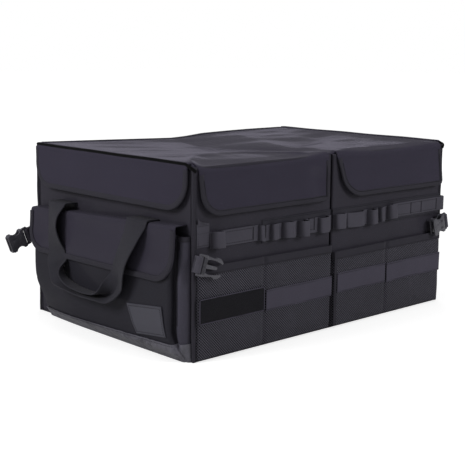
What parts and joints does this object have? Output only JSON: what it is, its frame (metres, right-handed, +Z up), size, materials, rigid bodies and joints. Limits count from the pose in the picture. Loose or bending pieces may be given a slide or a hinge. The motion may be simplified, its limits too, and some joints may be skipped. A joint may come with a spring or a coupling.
{
  "type": "folding storage box",
  "caption": "Folding cloth storage box for a car boot: boarded walls, flapped lid, mesh and flap pockets, looped webbing, webbing handles and plug buckles.",
  "frame": {"origin": "centre of the underside of the base cloth", "axes": "+Z up, front with the mesh pockets and webbing towards -Y, end with the flapped pocket towards -X"},
  "size_m": [0.7499, 0.4459, 0.2993],
  "materials": {
    "outer_cloth": "tightly woven matt cloth, near black with a violet cast",
    "binding_tape": "ribbed edge tape",
    "mesh": "open knitted mesh",
    "hook_and_loop": "short black pile",
    "soft_band": "smooth woven band",
    "ladder_base": "woven tape",
    "webbing": "ribbed polyester webbing",
    "handle_webbing": "heavy ribbed webbing",
    "buckle_plastic": "satin moulded plastic",
    "patch_rubber": "soft blank patch with a raised rim",
    "coated_cloth": "shiny crinkled coating",
    "stiff_board": "plain stiff sheet"
  },
  "bodies": {
    "box": {"back_board_left": "stiff_board", "back_board_right": "stiff_board", "back_fold_tape": "binding_tape", "back_wall_left": "outer_cloth", "back_wall_right": "outer_cloth", "base_board_left": "stiff_board", "base_board_right": "stiff_board", "base_cloth": "outer_cloth", "buckle_loop_back_left": "webbing", "buckle_loop_back_right": "webbing", "buckle_loop_front_left": "webbing", "buckle_loop_front_right": "webbing", "corner_binding_back_left": "binding_tape", "corner_binding_back_right": "binding_tape", "corner_binding_front_left": "binding_tape", "corner_binding_front_right": "binding_tape", "corner_tab_front_left": "webbing", "divider": "outer_cloth", "divider_board": "stiff_board", "end_board_left": "stiff_board", "end_board_right": "stiff_board", "end_guard": "coated_cloth", "end_pocket": "outer_cloth", "end_pocket_flap": "outer_cloth", "end_wall_left": "outer_cloth", "end_wall_right": "outer_cloth", "fold_binding": "binding_tape", "front_board_left": "stiff_board", "front_board_right": "stiff_board", "front_fold_tape": "binding_tape", "front_wall_left": "outer_cloth", "front_wall_right": "outer_cloth", "handle_strap_left_back": "handle_webbing", "handle_strap_left_front": "handle_webbing", "handle_strap_right_back": "handle_webbing", "handle_strap_right_front": "handle_webbing", "hook_loop_panel": "hook_and_loop", "ladder_base_left": "ladder_base", "ladder_base_right": "ladder_base", "ladder_webbing_left": "webbing", "ladder_webbing_right": "webbing", "mesh_pocket_left": "mesh", "mesh_pocket_right": "mesh", "patch": "patch_rubber", "pocket_hem_left": "binding_tape", "pocket_hem_right": "binding_tape", "webbing_band_1": "soft_band", "webbing_band_2": "soft_band", "webbing_band_3": "soft_band"},
    "lid": {"lid_top": "outer_cloth"},
    "flap_front_left": {"front_flap_left": "outer_cloth"},
    "flap_front_right": {"front_flap_right": "outer_cloth"},
    "flap_end_left": {"end_flap_left": "outer_cloth"},
    "flap_end_right": {"end_flap_right": "outer_cloth"},
    "handle_left": {"left_handle": "handle_webbing"},
    "handle_right": {"right_handle": "handle_webbing"},
    "buckle_front_left": {"male_buckle_front_left": "buckle_plastic"},
    "buckle_front_right": {"female_buckle_front_right": "buckle_plastic"},
    "buckle_back_left": {"female_buckle_back_left": "buckle_plastic"},
    "buckle_back_right": {"male_buckle_back_right": "buckle_plastic"}
  },
  "joints": [
    {"name": "lid", "type": "hinge", "parent": "box", "child": "lid", "pos_m": [0, 0.212, 0.2948], "axis": [-1, 0, 0], "range_deg": [0, 180]},
    {"name": "front_flap_left", "type": "hinge", "parent": "lid", "child": "flap_front_left", "pos_m": [-0.151, -0.2133, 0.2993], "axis": [-1, 0, 0], "range_deg": [0, 250]},
    {"name": "front_flap_right", "type": "hinge", "parent": "lid", "child": "flap_front_right", "pos_m": [0.151, -0.2133, 0.2993], "axis": [-1, 0, 0], "range_deg": [0, 250]},
    {"name": "end_flap_left", "type": "hinge", "parent": "lid", "child": "flap_end_left", "pos_m": [-0.3033, 0, 0.2993], "axis": [0, 1, 0], "range_deg": [0, 165]},
    {"name": "end_flap_right", "type": "hinge", "parent": "lid", "child": "flap_end_right", "pos_m": [0.3033, 0, 0.2993], "axis": [0, -1, 0], "range_deg": [0, 165]},
    {"name": "left_handle", "type": "hinge", "parent": "box", "child": "handle_left", "pos_m": [-0.3253, 0.012, 0.2085], "axis": [0, 1, 0], "range_deg": [0, 150]},
    {"name": "right_handle", "type": "hinge", "parent": "box", "child": "handle_right", "pos_m": [0.3028, 0.012, 0.2085], "axis": [0, -1, 0], "range_deg": [0, 135]},
    {"name": "buckle_front_left", "type": "hinge", "parent": "box", "child": "buckle_front_left", "pos_m": [-0.301, -0.2234, 0.153], "axis": [-0.2924, 0, -0.9563], "range_deg": [0, 175]},
    {"name": "buckle_front_right", "type": "hinge", "parent": "box", "child": "buckle_front_right", "pos_m": [0.301, -0.2234, 0.153], "axis": [-0.2419, 0, 0.9703], "range_deg": [0, 175]},
    {"name": "buckle_back_left", "type": "hinge", "parent": "box", "child": "buckle_back_left", "pos_m": [-0.32259, 0.2115, 0.13884], "axis": [0.342, 0, -0.9397], "range_deg": [0, 90]},
    {"name": "buckle_back_right", "type": "hinge", "parent": "box", "child": "buckle_back_right", "pos_m": [0.32259, 0.2115, 0.13884], "axis": [0.342, 0, 0.9397], "range_deg": [0, 90]}
  ]
}
